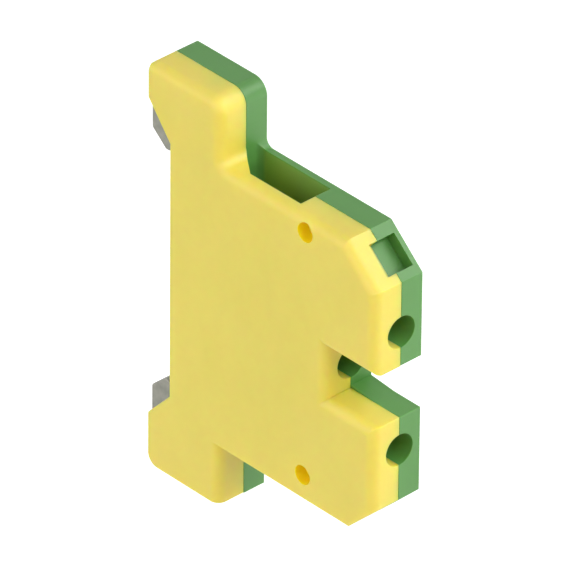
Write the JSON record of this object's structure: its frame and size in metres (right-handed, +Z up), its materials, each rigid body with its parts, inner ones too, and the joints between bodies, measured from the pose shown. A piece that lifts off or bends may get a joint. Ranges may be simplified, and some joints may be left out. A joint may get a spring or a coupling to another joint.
{
  "type": "earth terminal block",
  "caption": "Two-part plastic rail block with two screw wire clamps, a contact bar and a steel foot that ties them to a 35 mm rail.",
  "frame": {"origin": "on the flat rail side face, on the seam plane of the two shells, at the middle of the rail", "axes": "+X along the rail towards the green shell, -Y towards the front with the screw holes, +Z up across the rail"},
  "size_m": [0.0065, 0.0359, 0.0487],
  "materials": {
    "yellow_plastic": "satin",
    "green_plastic": "satin",
    "zinc_steel": "satin",
    "tinned_brass": "satin"
  },
  "bodies": {
    "housing": {"yellow_housing": "yellow_plastic", "green_housing": "green_plastic", "contact_bar": "tinned_brass", "rail_screw_washer": "zinc_steel"},
    "upper_screw": {"upper_clamp_screw": "zinc_steel"},
    "lower_screw": {"lower_clamp_screw": "zinc_steel"},
    "upper_cage": {"upper_clamp_cage": "zinc_steel"},
    "lower_cage": {"lower_clamp_cage": "zinc_steel"},
    "rail_screw": {"rail_screw": "zinc_steel"},
    "stirrup": {"foot_stirrup": "zinc_steel"},
    "foot": {"rail_foot": "zinc_steel"}
  },
  "joints": [
    {"name": "upper_screw_turn", "type": "hinge", "parent": "housing", "child": "upper_screw", "pos_m": [0, -0.02, 0.0058], "axis": [0, 1, 0], "range_deg": [0, 3201]},
    {"name": "upper_cage_lift", "type": "slide", "parent": "housing", "child": "upper_cage", "axis": [0, -1, 0], "range_m": [0, 0.004]},
    {"name": "lower_screw_turn", "type": "hinge", "parent": "housing", "child": "lower_screw", "pos_m": [0, -0.02, -0.0084], "axis": [0, 1, 0], "range_deg": [0, 3201]},
    {"name": "lower_cage_lift", "type": "slide", "parent": "housing", "child": "lower_cage", "axis": [0, -1, 0], "range_m": [0, 0.004]},
    {"name": "rail_screw_turn", "type": "hinge", "parent": "housing", "child": "rail_screw", "pos_m": [0, -0.02, -0.0013], "axis": [0, -1, 0], "range_deg": [0, 961]},
    {"name": "stirrup_slide", "type": "slide", "parent": "housing", "child": "stirrup", "axis": [0, 1, 0], "range_m": [0, 0.0012]},
    {"name": "foot_float", "type": "slide", "parent": "stirrup", "child": "foot", "axis": [0, 0, 1], "range_m": [0, 0.003]}
  ],
  "couplings": [
    {"joint": "upper_screw_turn", "follows": "upper_cage_lift", "rad_per_m": 13963},
    {"joint": "lower_screw_turn", "follows": "lower_cage_lift", "rad_per_m": 13963},
    {"joint": "rail_screw_turn", "follows": "stirrup_slide", "rad_per_m": 13963}
  ]
}
